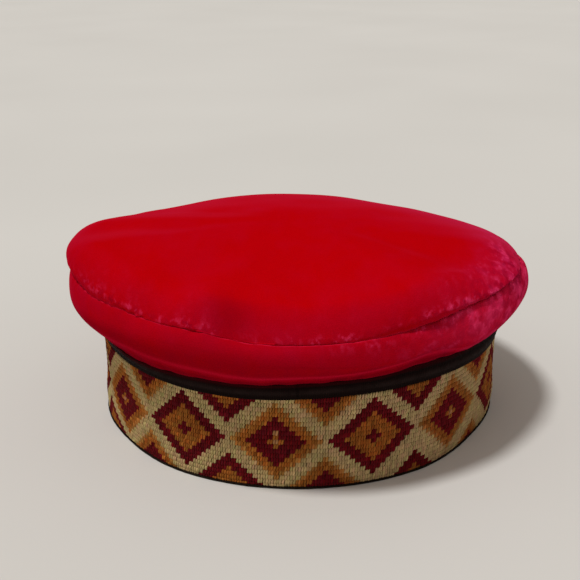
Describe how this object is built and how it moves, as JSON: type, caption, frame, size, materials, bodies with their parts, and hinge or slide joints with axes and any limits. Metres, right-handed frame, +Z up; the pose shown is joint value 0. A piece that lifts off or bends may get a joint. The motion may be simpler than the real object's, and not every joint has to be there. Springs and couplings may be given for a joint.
{
  "type": "velvet cap",
  "caption": "Round soft cap with a puffed velvet crown in two sewn panels over a stiff upright band worked in diamond cross-stitch, open below for the head.",
  "frame": {"origin": "middle of the cap's bounding box in plan, on the surface it stands on", "axes": "+Z up, -Y the front of the cap, +X to the wearer's left"},
  "size_m": [0.2144, 0.211, 0.0879],
  "materials": {
    "velvet": "crimson velvet, short crushed pile with pink sheen at grazing angles",
    "ribbon": "black ribbed ribbon, low sheen",
    "cross_stitch": "matt counted cross-stitch in cream, old gold and maroon thread",
    "binding": "dark brown woven binding, matt"
  },
  "bodies": {
    "root": {"top_panel": "velvet", "side_panel": "velvet", "ribbon_trim": "ribbon", "band": "cross_stitch", "edge_binding": "binding"}
  },
  "joints": []
}
